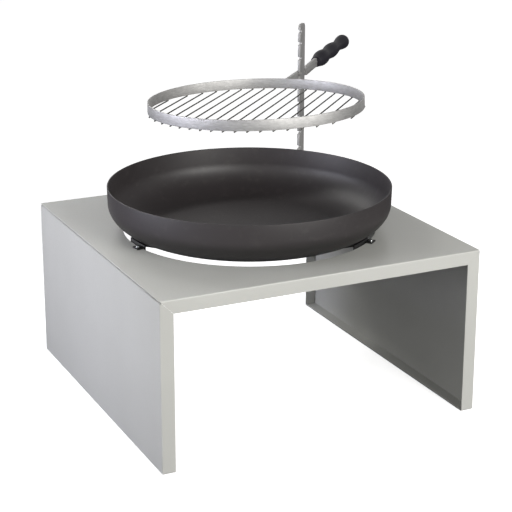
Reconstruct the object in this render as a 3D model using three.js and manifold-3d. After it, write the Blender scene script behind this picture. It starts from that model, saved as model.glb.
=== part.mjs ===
// Fire pit: a spun steel bowl hung in a folded steel table, with a round cooking grate
// that swings on a notched post and moves up and down it.
// Millimetres, +Z up. The table stands on z = 0 with its open sides facing -Y and +Y.
import * as THREE from "three";
import { mergeVertices } from "three/addons/utils/BufferGeometryUtils.js";
import { RoundedBoxGeometry } from "three/addons/geometries/RoundedBoxGeometry.js";
import Module from "manifold-3d";

const wasm = await Module();
wasm.setup();

// ---------------------------------------------------------------- driving dimensions

// Gaps
const seam = 0.3; // between pieces that rest on or are welded to each other
const boltFit = 0.3; // round a bolt, stud or pin, on the radius

// Table: a top tray on two side trays, open at the front and the rear
const tableWidth = 700;
const tableDepth = 700;
const tableHeight = 350;
const tableSheet = 3;
const flangeWidth = 28; // the band round the front and rear openings
const bendRadius = 3;
const holeRadius = 268;

// Studs under the top, with the nuts that hold the side trays
const studRadius = 3;
const studLength = 13;
const studsPerSide = 2;
const studEndMargin = 150; // from the front or rear edge of the table

// Fire bowl
const bowlRadius = 300;
const rimAboveTable = 94;
const bowlWall = 3;
const wallHeight = 35; // nearly upright wall under the rim
const wallTaper = 1; // how far the wall leans in over that height
const curveHeight = 65; // from the wall down to the flat floor
const curveReach = 101.5;

// Clips that carry the bowl at the edge of the hole
const clipCount = 3;
const clipTurn = 64.5; // degrees from +X to the first clip
const clipSpan = 14; // degrees of the hole's edge that a clip covers
const lipSpan = 4; // degrees of it that the lip under the bolt covers
const clipSheet = 3;
const lipReach = 14; // lip beyond the edge of the hole
const webDrop = 17; // web below the table's surface
const clipHoleFit = 2; // web to the edge of the hole
const saddleRadius = 245; // where the clip's sloping saddle touches the bowl
const saddleReach = 9; // saddle beyond that circle, towards the middle
const clipBoltTurn = 4.8; // degrees from the middle of a clip to its bolt
const clipBoltRadius = 2.5;

// Fasteners
const headRadius = 4.8;
const headHeight = 3.2;
const nutWidth = 10; // across flats
const nutHeight = 5;
const boltTail = 2; // bolt past its nut

// Post and its socket, towards the right rear corner of the table
const postReach = 355; // from the table's middle
const postTurn = 45; // degrees from +X
const postTop = 725;
const postWidth = 40; // along the arm
const postThickness = 6;
const postCornerRadius = 12;
const notchDepth = 12;
const notchHeight = 7;
const notchCount = 9;
const topNotchDrop = 15.5; // from the post's top to the first notch
const topNotchGap = 27.5; // from the first notch to the second
const notchPitch = 34.5; // between the others
const spigotRadius = 12.5;
const spigotLength = 94;
const footRadius = 23;
const footHeight = 6;
const socketWall = 4.5;
const socketFit = 0.3;
const socketDepth = 100; // tube below the table's surface
const socketFlangeRadius = 42;
const socketFlangeHeight = 5;
const socketBoltCount = 4;
const socketBoltCircle = 31;
const socketBoltRadius = 3;

// Grate and its arm
const armReach = 355; // post to the middle of the grate
const swing = 2.3; // degrees that the arm stands past the line to the table's middle
const latchedNotch = 4; // counted from the top of the post
const grateRoll = -2.2; // degrees, play of the arm on the post
const gratePitch = 1.05; // degrees, the grate end stands a little higher
const ringRadius = 225;
const ringTop = 12; // above the middle of the arm
const ringHeight = 22;
const ringThickness = 3;
const barRadius = 1.5;
const barPitch = 24.1;
const barCount = 19;
const barOverhang = 1.2; // bar ends past the ring
const armThickness = 7;
const armHeight = 20.5;
const armCorner = 3;
const frontBarEnd = 38; // from the post's axis
const rearBarStart = 34;
const rearBarEnd = 131;
const rearBarRise = 2.5; // degrees that the rear bar climbs towards the handle
const sidePlateSheet = 2.5;
const sidePlatePlay = 0.8; // between the plate and the post
const sidePlateFront = 62;
const sidePlateRear = 58;
const sidePlateHeight = 17;
const sidePlateCorner = 3;
const pinRadius = 3;
const pinPlay = 0.5; // front pin to the post's edge
const rearPinPlay = 3; // rear pin to the post's edge, taken up when the arm tips and bites
const frontPinRise = 3; // pins above the middle of the arm
const rearPinRise = 4.2;
const pinHeadRadius = 4.5;
const pinHeadHeight = 1.5;

// Handle
const handleRise = 1.56; // degrees that it points up from the arm's line
const handleNecks = [12.8, 14.9, 13.2]; // radius of each neck
const handleSwells = [18.4, 17.8]; // radius of each swelling between them
const neckPlaces = [0, 98.4, 207.3]; // along the handle
const swellPlaces = [50.8, 143.8];
const endBallRadius = 18;
const endBallPlace = 263;
const tangRadius = 4;
const tangLength = 130;

// ---------------------------------------------------------------- materials

const finish = (color, roughness, metalness) =>
  new THREE.MeshStandardMaterial({ color, roughness, metalness });
const tablePaint = finish(0xb9b9b2, 0.55, 0.1);
const bowlSteel = finish(0x3a3636, 0.6, 0.55);
const clipPaint = finish(0x151515, 0.5, 0.3);
const stainless = finish(0xa8aaa8, 0.35, 0.95);
const zincPlate = finish(0x9a9c9e, 0.4, 0.9);
const handleLacquer = finish(0x1d1c1f, 0.35, 0.0);

// ---------------------------------------------------------------- shape helpers

const radians = THREE.MathUtils.degToRad;
const count = (number) => Array.from({ length: number }, (_, index) => index);
const onCircle = (radius, angle) => [radius * Math.cos(radians(angle)), radius * Math.sin(radians(angle))];
const middle = (range) => (range[0] + range[1]) / 2;
const extent = (range) => Math.abs(range[1] - range[0]);

function solid(geometry) {
  const bare = geometry.clone();
  bare.deleteAttribute("normal");
  bare.deleteAttribute("uv");
  const merged = mergeVertices(bare, 1e-4);
  return new wasm.Manifold(
    new wasm.Mesh({
      numProp: 3,
      vertProperties: merged.attributes.position.array,
      triVerts: new Uint32Array(merged.index.array),
    }),
  );
}

const cut = (body, ...tools) => tools.reduce((left, tool) => left.subtract(solid(tool)), solid(body));
const join = (body, ...more) => more.reduce((whole, extra) => whole.add(solid(extra)), body);

function geometryOf(manifold) {
  const { vertProperties, triVerts } = manifold.getMesh();
  const geometry = new THREE.BufferGeometry();
  geometry.setAttribute("position", new THREE.BufferAttribute(vertProperties, 3));
  geometry.setIndex(new THREE.BufferAttribute(triVerts, 1));
  geometry.computeVertexNormals();
  return geometry;
}

function piece(name, shape, material, place = [0, 0, 0]) {
  const geometry = shape.isBufferGeometry ? shape : geometryOf(shape);
  const mesh = new THREE.Mesh(geometry, material);
  mesh.name = name;
  mesh.position.set(...place);
  return mesh;
}

// One mesh for each place, numbered from 1
function repeated(name, shape, material, places) {
  const geometry = shape.isBufferGeometry ? shape : geometryOf(shape);
  return places.map((place, index) => piece(`${name}_${index + 1}`, geometry, material, place));
}

// Block between pairs of coordinates
function block(x, y, z) {
  const box = new THREE.BoxGeometry(extent(x), extent(y), extent(z));
  return box.translate(middle(x), middle(y), middle(z));
}

function roundedBlock(x, y, z, radius) {
  const box = new RoundedBoxGeometry(extent(x), extent(y), extent(z), 2, radius);
  return box.translate(middle(x), middle(y), middle(z));
}

// Upright cylinder
function drum(radius, z, [x, y] = [0, 0], segments = 16) {
  const cylinder = new THREE.CylinderGeometry(radius, radius, extent(z), segments);
  return cylinder.rotateX(Math.PI / 2).translate(x, y, middle(z));
}

// Cylinder along Y
function crossPin(radius, y, [x, z], segments = 16) {
  return new THREE.CylinderGeometry(radius, radius, extent(y), segments).translate(x, middle(y), z);
}

// Outline in X and Z, given a thickness along Y
function plate(outline, y, curveSegments = 5) {
  const raised = new THREE.ExtrudeGeometry(outline, { depth: extent(y), bevelEnabled: false, curveSegments });
  return raised.rotateX(Math.PI / 2).translate(0, Math.max(...y), 0);
}

// Outline in X and Y, given a height along Z
function slab(outline, z, curveSegments = 8) {
  const raised = new THREE.ExtrudeGeometry(outline, { depth: extent(z), bevelEnabled: false, curveSegments });
  return raised.translate(0, 0, Math.min(...z));
}

// Profile of [radius, height] turned about Z
function turned(profile, segments) {
  const points = profile.map(([radius, height]) => new THREE.Vector2(radius, height));
  return new THREE.LatheGeometry(points, segments).rotateX(Math.PI / 2);
}

const polygon = (points) => new THREE.Shape(points.map(([x, y]) => new THREE.Vector2(x, y)));

// Rectangle with its four corner radii: lower left, lower right, upper right, upper left
function roundedRectangle([x0, x1], [y0, y1], [r1, r2, r3, r4]) {
  const shape = new THREE.Shape();
  shape.moveTo(x0 + r1, y0);
  shape.lineTo(x1 - r2, y0);
  if (r2) shape.absarc(x1 - r2, y0 + r2, r2, -Math.PI / 2, 0, false);
  shape.lineTo(x1, y1 - r3);
  if (r3) shape.absarc(x1 - r3, y1 - r3, r3, 0, Math.PI / 2, false);
  shape.lineTo(x0 + r4, y1);
  if (r4) shape.absarc(x0 + r4, y1 - r4, r4, Math.PI / 2, Math.PI, false);
  shape.lineTo(x0, y0 + r1);
  if (r1) shape.absarc(x0 + r1, y0 + r1, r1, Math.PI, Math.PI * 1.5, false);
  return shape;
}

// Part of a flat ring, between two angles in degrees
function ringSector(inner, outer, from, to) {
  const shape = new THREE.Shape();
  shape.absarc(0, 0, outer, radians(from), radians(to), false);
  shape.absarc(0, 0, inner, radians(to), radians(from), true);
  return shape;
}

function hexagon(acrossFlats) {
  const corner = acrossFlats / 2 / Math.cos(Math.PI / 6);
  return polygon(count(6).map((index) => onCircle(corner, index * 60)));
}

// ---------------------------------------------------------------- fasteners, seat at z = 0

// Hexagon nut hanging below its seat
function nut(boltRadius) {
  const body = slab(hexagon(nutWidth), [-nutHeight, 0]);
  return cut(body, drum(boltRadius + boltFit, [-nutHeight - 1, 1]));
}

// Button-head bolt: head above its seat, shank below
function bolt(radius, reach) {
  const profile = [
    [0, -reach],
    [radius, -reach],
    [radius, 0],
    [headRadius, 0],
    [headRadius, headHeight * 0.35],
    [headRadius * 0.85, headHeight * 0.8],
    [headRadius * 0.55, headHeight],
    [0, headHeight],
  ];
  return turned(profile, 16);
}

// ---------------------------------------------------------------- places worked out from the sizes

const halfWidth = tableWidth / 2;
const halfDepth = tableDepth / 2;
const underTop = tableHeight - tableSheet;
const panelTop = underTop - seam;
const rimHeight = tableHeight + rimAboveTable;
const curveTop = rimHeight - wallHeight;
const bowlBase = curveTop - curveHeight; // underside of the floor
const curveStart = bowlRadius - wallTaper;
const floorRadius = curveStart - curveReach;
const [postX, postY] = onCircle(postReach, postTurn);
const socketFlangeTop = tableHeight + seam + socketFlangeHeight;
const footBase = socketFlangeTop + seam;
const footTop = footBase + footHeight;

const studX = halfWidth - flangeWidth / 2 - tableSheet / 2;
const studStep = (tableDepth - 2 * studEndMargin) / Math.max(studsPerSide - 1, 1);
const studY = count(studsPerSide).map((index) => -halfDepth + studEndMargin + index * studStep);
const studs = [-studX, studX].flatMap((x) => studY.map((y) => [x, y]));

const clipAngles = count(clipCount).map((index) => clipTurn + (index * 360) / clipCount);
const clipBolts = clipAngles.map((angle) => onCircle(holeRadius + lipReach / 2, angle + clipBoltTurn));
const socketBolts = count(socketBoltCount).map((index) =>
  onCircle(socketBoltCircle, postTurn + ((index + 0.5) * 360) / socketBoltCount),
);

const notchLevels = count(notchCount).map((index) =>
  index ? postTop - topNotchDrop - topNotchGap - (index - 1) * notchPitch : postTop - topNotchDrop,
);

// ---------------------------------------------------------------- table

// Outline in X and Z of the corner of the band that a side tray has, cut at 45 degrees
function bandCorner(side, clear) {
  const wall = halfWidth - tableSheet;
  const inner = halfWidth - flangeWidth;
  const low = tableHeight - flangeWidth - clear * Math.SQRT2;
  return [
    [side * wall, underTop - clear],
    [side * inner, low],
    [side * inner, low - 4 * bendRadius],
    [side * (halfWidth + 1), low - 4 * bendRadius],
    [side * (halfWidth + 1), underTop - clear],
  ];
}

// Sheet with a folded flange along the front and the rear
function tableTop() {
  const bandBottom = tableHeight - flangeWidth;
  const wide = [-halfWidth - 1, halfWidth + 1];
  const deep = [-halfDepth - 1, halfDepth + 1];
  const blank = roundedBlock(
    [-halfWidth, halfWidth],
    [-halfDepth, halfDepth],
    [bandBottom - 2 * bendRadius, tableHeight],
    bendRadius,
  );
  const hollow = block(
    wide,
    [-halfDepth + tableSheet, halfDepth - tableSheet],
    [bandBottom - 3 * bendRadius, underTop],
  );
  const below = block(wide, deep, [bandBottom - 3 * bendRadius, bandBottom]);
  const corners = [-1, 1].map((side) => plate(polygon(bandCorner(side, 0)), deep));
  const through = [underTop - 1, tableHeight + 1];
  const socketHole = spigotRadius + socketFit + socketWall + 2 * boltFit;
  const holes = [
    drum(holeRadius, through, [0, 0], 120),
    drum(socketHole, through, [postX, postY], 40),
    ...clipBolts.map((place) => drum(clipBoltRadius + boltFit, through, place)),
    ...socketBolts.map(([x, y]) => drum(socketBoltRadius + boltFit, through, [postX + x, postY + y])),
  ];
  const sheet = cut(blank, hollow, below, ...corners, ...holes);
  return join(sheet, ...studs.map((place) => drum(studRadius, [underTop - studLength, underTop + 1], place)));
}

// Side wall folded inwards along its front, rear, bottom and top
function sidePanel(side) {
  const inner = halfWidth - flangeWidth;
  const across = (from, to) => [side * from, side * to];
  const deep = [-halfDepth - 1, halfDepth + 1];
  const above = tableHeight + 3 * bendRadius;
  const blank = roundedBlock(
    across(inner - 2 * bendRadius, halfWidth),
    [-halfDepth, halfDepth],
    [0, tableHeight + 2 * bendRadius],
    bendRadius,
  );
  const hollow = block(
    across(inner - 3 * bendRadius, halfWidth - tableSheet),
    [-halfDepth + tableSheet, halfDepth - tableSheet],
    [tableSheet, panelTop - tableSheet],
  );
  const inside = block(across(inner - 3 * bendRadius, inner), deep, [-1, above]);
  const over = block(across(inner - 3 * bendRadius, halfWidth + 1), deep, [panelTop, above]);
  const [wallCorner, bandCornerPoint] = bandCorner(side, seam);
  const slope = polygon([
    wallCorner,
    [side * (halfWidth - tableSheet), above],
    [side * (inner - 1), above],
    [side * (inner - 1), bandCornerPoint[1] - 1],
    bandCornerPoint,
  ]);
  const mitres = [-1, 1].map((end) => plate(slope, [end * (halfDepth - tableSheet), end * (halfDepth + 1)]));
  const studHoles = studs
    .filter(([x]) => x * side > 0)
    .map((place) => drum(studRadius + boltFit, [panelTop - tableSheet - 1, panelTop + 1], place));
  return cut(blank, hollow, inside, over, ...mitres, ...studHoles);
}

// ---------------------------------------------------------------- fire bowl and its clips

// Underside of the bowl's curve at a radius, and its slope there
function bowlUnderside(radius) {
  const across = Math.min(Math.max((radius - floorRadius) / curveReach, 0), 0.999);
  const drop = Math.sqrt(1 - across * across);
  return { height: curveTop - curveHeight * drop, slope: (curveHeight * across) / (curveReach * drop) };
}

function fireBowl() {
  const steps = 8;
  const curve = (reach, height) =>
    count(steps + 1).map((index) => {
      const turn = (index / steps) * (Math.PI / 2);
      return [floorRadius + reach * Math.sin(turn), curveTop - height * Math.cos(turn)];
    });
  const outside = curve(curveReach, curveHeight);
  const inside = curve(curveReach - bowlWall, curveHeight - bowlWall).reverse();
  const wall = [
    [bowlRadius, rimHeight],
    [bowlRadius - bowlWall, rimHeight],
  ];
  return turned([[0, bowlBase], ...outside, ...wall, ...inside, [0, bowlBase + bowlWall]], 80);
}

// Bent sheet: a lip bolted on the table, a web through the hole and a saddle that slopes in under the bowl
function bowlClip(angle, boltPlace) {
  const webOuter = holeRadius - clipHoleFit;
  const webInner = webOuter - clipSheet;
  const lip = [tableHeight + seam, tableHeight + seam + clipSheet];
  const [from, to] = [angle - clipSpan / 2, angle + clipSpan / 2];
  const rest = bowlUnderside(saddleRadius);
  const saddleTop = (radius) => rest.height - 1.5 * seam + (radius - saddleRadius) * rest.slope;
  const saddleDepth = clipSheet * Math.hypot(1, rest.slope);
  const tip = saddleRadius - saddleReach;
  const profile = [
    [tip, saddleTop(tip) - saddleDepth],
    [webInner, saddleTop(webInner) - saddleDepth],
    [webInner, tableHeight - webDrop],
    [webOuter, tableHeight - webDrop],
    [webOuter, saddleTop(webInner)],
    [webInner, saddleTop(webInner)],
    [tip, saddleTop(tip)],
  ];
  const ring = solid(turned([...profile, profile[0]], 96));
  const web = ring.intersect(
    solid(slab(ringSector(tip / 2, holeRadius + lipReach, from, to), [bowlBase - rimHeight, rimHeight])),
  );
  const [lipFrom, lipTo] = [angle + clipBoltTurn - lipSpan / 2, angle + clipBoltTurn + lipSpan / 2];
  const lipPlate = slab(ringSector(webInner + clipSheet / 2, holeRadius + lipReach, lipFrom, lipTo), lip);
  const hole = drum(clipBoltRadius + boltFit, [lip[0] - 1, lip[1] + 1], boltPlace);
  return join(web, lipPlate).subtract(solid(hole));
}

// ---------------------------------------------------------------- post and socket, about the post's axis

// Flanged tube that hangs in the table top
function postSocket() {
  const bore = spigotRadius + socketFit;
  const tube = bore + socketWall;
  const flange = [tableHeight + seam, socketFlangeTop];
  const profile = [
    [bore, tableHeight - socketDepth],
    [tube, tableHeight - socketDepth],
    [tube, flange[0]],
    [socketFlangeRadius, flange[0]],
    [socketFlangeRadius, flange[1] - 1],
    [socketFlangeRadius - 1, flange[1]],
    [bore, flange[1]],
  ];
  const holes = socketBolts.map((place) =>
    drum(socketBoltRadius + boltFit, [flange[0] - 1, flange[1] + 1], place),
  );
  return cut(turned([...profile, profile[0]], 40), ...holes);
}

// Disc that turns on the socket's flange, with a spigot in its bore
function postFoot() {
  const tip = footBase - spigotLength;
  const chamfer = 1.5;
  const profile = [
    [0, tip],
    [spigotRadius - chamfer, tip],
    [spigotRadius, tip + chamfer],
    [spigotRadius, footBase],
    [footRadius, footBase],
    [footRadius, footTop - chamfer],
    [footRadius - chamfer, footTop],
    [0, footTop],
  ];
  return turned(profile, 40);
}

// Flat bar on edge, notched along the side that faces the grate
function notchedPost() {
  const half = postWidth / 2;
  const corners = [0, 0, postCornerRadius, postCornerRadius];
  const outline = roundedRectangle([-half, half], [footTop + seam, postTop], corners);
  const round = notchHeight / 2;
  const notches = notchLevels.map((level) => {
    const slot = roundedRectangle(
      [-half - 2, -half + notchDepth],
      [level - round, level + round],
      [0, round * 0.99, round * 0.99, 0],
    );
    return plate(slot, [-postThickness, postThickness], 3);
  });
  return cut(plate(outline, [-postThickness / 2, postThickness / 2]), ...notches);
}

// ---------------------------------------------------------------- grate, arm and handle
// Drawn with the post at x = 0, the grate towards -X and the middle of the arm's height at z = 0

const plateInside = postThickness / 2 + sidePlatePlay;
const plateOutside = plateInside + sidePlateSheet;
const handleLift = (rearBarEnd - rearBarStart) * Math.sin(radians(rearBarRise));
const frontPin = [-postWidth / 2 - pinPlay - pinRadius, frontPinRise];
const rearPin = [postWidth / 2 + rearPinPlay + pinRadius, rearPinRise];
const barLevel = ringTop - ringHeight - seam - barRadius;

function grateRing() {
  const inner = ringRadius - ringThickness;
  const profile = [
    [inner, ringTop - ringHeight],
    [ringRadius, ringTop - ringHeight],
    [ringRadius, ringTop],
    [inner, ringTop],
  ];
  return turned([...profile, profile[0]], 96);
}

// Round bar across the ring, at a distance from the ring's middle
function grateBar(offset) {
  const half = Math.sqrt(ringRadius ** 2 - offset ** 2) + barOverhang;
  return new THREE.CylinderGeometry(barRadius, barRadius, 2 * half, 10).rotateZ(Math.PI / 2);
}

// Flat bar on edge along X, between two heights
function armBar(ends, band, corners) {
  return plate(roundedRectangle(ends, band, corners), [-armThickness / 2, armThickness / 2]);
}

// Plate on the far side of the post that carries both pins
function sidePlate() {
  const corners = count(4).map(() => sidePlateCorner);
  const band = [-sidePlateHeight / 2, sidePlateHeight / 2];
  const outline = roundedRectangle([-sidePlateFront, sidePlateRear], band, corners);
  const across = [-2 * plateOutside, 2 * plateOutside];
  const holes = [frontPin, rearPin].map((place) => crossPin(pinRadius + boltFit, across, place));
  return cut(plate(outline, [plateInside, plateOutside]), ...holes);
}

// Cross pin with a flat head outside the plate and one outside the post's other face
function headedPin() {
  const seats = [-plateInside, plateOutside + seam];
  const heads = seats.map((y) => {
    const outer = y + Math.sign(y) * pinHeadHeight;
    return crossPin(pinHeadRadius, [y, outer], [0, 0]);
  });
  const shank = [seats[0] - pinHeadHeight / 2, seats[1] + pinHeadHeight / 2];
  return join(solid(crossPin(pinRadius, shank, [0, 0])), ...heads);
}

// Turned grip along +X from x = 0, with a bore for its tang
function handleGrip() {
  const steps = 6;
  const places = [neckPlaces[0], swellPlaces[0], neckPlaces[1], swellPlaces[1], neckPlaces[2], endBallPlace];
  const radii = [handleNecks[0], handleSwells[0], handleNecks[1], handleSwells[1], handleNecks[2], endBallRadius];
  const waves = count(5 * steps).map((index) => {
    const stretch = Math.floor(index / steps);
    const along = (index % steps) / steps;
    const blend = (1 - Math.cos(Math.PI * along)) / 2;
    return [
      radii[stretch] + (radii[stretch + 1] - radii[stretch]) * blend,
      places[stretch] + (places[stretch + 1] - places[stretch]) * along,
    ];
  });
  const dome = count(6).map((index) => {
    const [out, up] = onCircle(endBallRadius, index * 18);
    return [index === 5 ? 0 : out, endBallPlace + up];
  });
  const bore = tangRadius + boltFit;
  const profile = [[0, tangLength], [bore, tangLength], [bore, 0], ...waves, ...dome];
  const points = profile.map(([radius, along]) => new THREE.Vector2(radius, along));
  return new THREE.LatheGeometry(points, 24).rotateZ(-Math.PI / 2);
}

// ---------------------------------------------------------------- assembly

const firePit = new THREE.Group();

// Table
firePit.add(
  piece("table_top", tableTop(), tablePaint),
  piece("left_panel", sidePanel(-1), tablePaint),
  piece("right_panel", sidePanel(1), tablePaint),
);
const panelNutSeat = panelTop - tableSheet - seam;
firePit.add(
  ...repeated("panel_nut", nut(studRadius), zincPlate, studs.map(([x, y]) => [x, y, panelNutSeat])),
);

// Bowl on its clips
const clipSeat = tableHeight + 2 * seam + clipSheet;
const nutSeat = underTop - seam;
const clipBolt = bolt(clipBoltRadius, clipSeat - nutSeat + nutHeight + boltTail);
firePit.add(
  piece("fire_bowl", fireBowl(), bowlSteel),
  ...clipAngles.map((angle, index) => piece(`bowl_clip_${index + 1}`, bowlClip(angle, clipBolts[index]), clipPaint)),
  ...repeated("clip_bolt", clipBolt, zincPlate, clipBolts.map(([x, y]) => [x, y, clipSeat])),
  ...repeated("clip_nut", nut(clipBoltRadius), zincPlate, clipBolts.map(([x, y]) => [x, y, nutSeat])),
);

// Socket for the post
const socket = new THREE.Group();
const socketSeat = socketFlangeTop + seam;
const socketBolt = bolt(socketBoltRadius, socketSeat - nutSeat + nutHeight + boltTail);
socket.position.set(postX, postY, 0);
socket.add(
  piece("post_socket", postSocket(), stainless),
  ...repeated("socket_bolt", socketBolt, stainless, socketBolts.map(([x, y]) => [x, y, socketSeat])),
  ...repeated("socket_nut", nut(socketBoltRadius), zincPlate, socketBolts.map(([x, y]) => [x, y, nutSeat])),
);
firePit.add(socket);

// Post, turned so that its notches face the grate
const post = new THREE.Group();
post.position.set(postX, postY, 0);
post.rotation.z = radians(postTurn + swing);
post.add(piece("post_foot", postFoot(), stainless), piece("notched_post", notchedPost(), stainless));
firePit.add(post);

// Grate on the post, its latch pin level with a notch
const grate = new THREE.Group();
const pinRise = -frontPin[0] * Math.sin(radians(gratePitch)) + frontPin[1] * Math.cos(radians(gratePitch));
grate.position.z = notchLevels[latchedNotch - 1] - pinRise;
grate.rotation.set(radians(grateRoll), radians(gratePitch), 0);
const ringBottom = ringTop - ringHeight;
const frontBand = [ringBottom, ringBottom + armHeight];
grate.add(
  piece("grate_ring", grateRing(), stainless, [-armReach, 0, 0]),
  piece("front_arm", armBar([-armReach + ringRadius + seam, -frontBarEnd], frontBand, [0, 1, 1, 0]), stainless),
  piece("side_plate", sidePlate(), stainless),
  piece("latch_pin", headedPin(), stainless, [frontPin[0], 0, frontPin[1]]),
  piece("rear_pin", headedPin(), stainless, [rearPin[0], 0, rearPin[1]]),
);
count(barCount).forEach((index) => {
  const offset = (index - (barCount - 1) / 2) * barPitch;
  grate.add(piece(`grate_bar_${index + 1}`, grateBar(offset), stainless, [-armReach, offset, barLevel]));
});
post.add(grate);

// Rear bar, climbing a little towards the handle
const rearBand = [-armHeight / 2, armHeight / 2];
const rearBar = armBar([0, rearBarEnd - rearBarStart], rearBand, [1, armCorner, armCorner, 1]);
const rearArm = piece("rear_arm", rearBar, stainless, [rearBarStart, 0, 0]);
rearArm.rotation.y = -radians(rearBarRise);
grate.add(rearArm);

// Handle, its tang welded to the end of the rear bar
const handle = new THREE.Group();
const tangReach = tangLength - 2 * seam;
const tang = new THREE.CylinderGeometry(tangRadius, tangRadius, tangReach, 16).rotateZ(Math.PI / 2);
handle.position.set(rearBarEnd + 2 * seam, 0, handleLift);
handle.rotation.y = -radians(handleRise);
handle.add(
  piece("handle_tang", tang, zincPlate, [tangReach / 2, 0, 0]),
  piece("handle_grip", handleGrip(), handleLacquer),
);
grate.add(handle);

// The origin is on the floor, under the middle of the outline
const outline = new THREE.Box3().setFromObject(firePit, true);
firePit.position.set(-(outline.min.x + outline.max.x) / 2, -(outline.min.y + outline.max.y) / 2, 0);
firePit.updateMatrixWorld(true);

export default firePit;
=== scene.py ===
import math
import bmesh
import bpy
from mathutils import Matrix, Vector


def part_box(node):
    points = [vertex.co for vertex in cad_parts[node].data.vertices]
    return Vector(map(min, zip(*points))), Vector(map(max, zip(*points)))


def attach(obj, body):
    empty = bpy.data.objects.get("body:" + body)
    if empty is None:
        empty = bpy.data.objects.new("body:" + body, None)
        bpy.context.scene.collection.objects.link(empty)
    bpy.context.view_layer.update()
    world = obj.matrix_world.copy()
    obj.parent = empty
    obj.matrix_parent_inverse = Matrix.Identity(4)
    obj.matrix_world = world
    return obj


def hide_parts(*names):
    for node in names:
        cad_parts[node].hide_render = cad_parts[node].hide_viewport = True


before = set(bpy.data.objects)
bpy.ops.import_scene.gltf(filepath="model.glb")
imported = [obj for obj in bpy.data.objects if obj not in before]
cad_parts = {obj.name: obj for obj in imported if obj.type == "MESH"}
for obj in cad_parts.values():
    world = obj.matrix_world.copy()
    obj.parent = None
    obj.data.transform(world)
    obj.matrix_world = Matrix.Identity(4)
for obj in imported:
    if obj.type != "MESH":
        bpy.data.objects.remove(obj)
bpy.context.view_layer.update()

mm = 0.001
mergeDistance = 0.0005  # millimetres within which vertices become one
near = 0.01  # millimetres within which places count as the same
aligned = 0.99  # cosine from which an edge counts as lying along an axis
overrun = 9.0  # millimetres that a cutter reaches past what it cuts
alongX = Matrix.Rotation(math.pi / 2, 4, "Y")  # stands a shape's Z along X
alongY = Matrix.Rotation(-math.pi / 2, 4, "X")


def boxOf(node):
    low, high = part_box(node)
    return Vector(low) / mm, Vector(high) / mm


def middleOf(node):
    low, high = boxOf(node)
    return (low + high) / 2


def turnedBy(degrees, axis):
    return Matrix.Rotation(math.radians(degrees), 4, axis)


# How the post and the grate stand, in degrees and millimetres
stand = {
    "turn": 47.3,
    "roll": -2.2,
    "pitch": 1.05,
    "reach": 355.0,  # post to the middle of the grate
    "ringMiddle": 1.0,  # middle of the ring above the middle of the arm
    "gap": 0.3,  # between pieces that are welded or rest on each other
}

tableLow, tableHigh = boxOf("table_top")
tableMiddle = middleOf("table_top")
postMiddle = middleOf("post_foot")
tableTopZ = tableHigh.z
halfWide = (tableHigh.x - tableLow.x) / 2
halfDeep = (tableHigh.y - tableLow.y) / 2

atTable = Matrix.Translation((tableMiddle.x, tableMiddle.y, 0))
atSocket = Matrix.Translation((postMiddle.x, postMiddle.y, 0))
atPost = atSocket @ turnedBy(stand["turn"], "Z")
atRing = (
    Matrix.Translation(middleOf("grate_ring"))
    @ turnedBy(stand["turn"], "Z")
    @ turnedBy(stand["roll"], "X")
    @ turnedBy(stand["pitch"], "Y")
)
atGrate = atRing @ Matrix.Translation((stand["reach"], 0, -stand["ringMiddle"]))


# Shapes, in millimetres
def block(x, y, z):
    mesh = bmesh.new()
    size = (x[1] - x[0], y[1] - y[0], z[1] - z[0])
    centre = ((x[0] + x[1]) / 2, (y[0] + y[1]) / 2, (z[0] + z[1]) / 2)
    place = Matrix.LocRotScale(Vector(centre), None, Vector(size))
    bmesh.ops.create_cube(mesh, size=1, matrix=place)
    return mesh


def drum(radius, z, x=0, y=0, segments=32):
    mesh = bmesh.new()
    bmesh.ops.create_cone(
        mesh,
        cap_ends=True,
        segments=segments,
        radius1=radius,
        radius2=radius,
        depth=z[1] - z[0],
        matrix=Matrix.Translation((x, y, (z[0] + z[1]) / 2)),
    )
    return mesh


def lathe(profile, segments=64, degrees=360.0, start=0.0):
    mesh = bmesh.new()
    points = [mesh.verts.new((radius, 0, height)) for radius, height in profile]
    edges = [mesh.edges.new(pair) for pair in zip(points, points[1:])]
    turn = Matrix.Rotation(math.radians(start), 3, "Z")
    bmesh.ops.rotate(mesh, verts=points, cent=(0, 0, 0), matrix=turn)
    bmesh.ops.spin(
        mesh,
        geom=[*points, *edges],
        cent=(0, 0, 0),
        axis=(0, 0, 1),
        angle=math.radians(degrees),
        steps=segments,
        use_merge=degrees == 360.0,
    )
    bmesh.ops.remove_doubles(mesh, verts=mesh.verts, dist=mergeDistance)
    return mesh


# Part of a turned shape, closed at both ends
def sweepSector(profile, start, end, steps):
    mesh = lathe([*profile, profile[0]], steps, end - start, start)
    bmesh.ops.holes_fill(mesh, edges=mesh.edges, sides=0)
    return mesh


def roundEdges(mesh, edges, radius, segments=5):
    bmesh.ops.bevel(
        mesh,
        geom=edges,
        offset=radius,
        segments=segments,
        profile=0.5,
        affect="EDGES",
        material=-1,
        clamp_overlap=True,
    )


def edgesAlong(mesh, axis, keep=lambda middle: True):
    found = []
    for edge in mesh.edges:
        ends = [vert.co for vert in edge.verts]
        along = (ends[1] - ends[0]).normalized()
        if abs(along[axis]) > aligned and keep((ends[0] + ends[1]) / 2):
            found.append(edge)
    return found


def sharpEdges(mesh, angle=50):
    bmesh.ops.recalc_face_normals(mesh, faces=mesh.faces)
    limit = math.radians(angle)
    inner = [edge for edge in mesh.edges if len(edge.link_faces) == 2]
    return [edge for edge in inner if edge.calc_face_angle(0) > limit]


def arc(centre, radius, start, end, steps=8):
    points = []
    for step in range(steps + 1):
        turn = math.radians(start + (end - start) * step / steps)
        points.append((centre[0] + radius * math.cos(turn), centre[1] + radius * math.sin(turn)))
    return points


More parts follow.
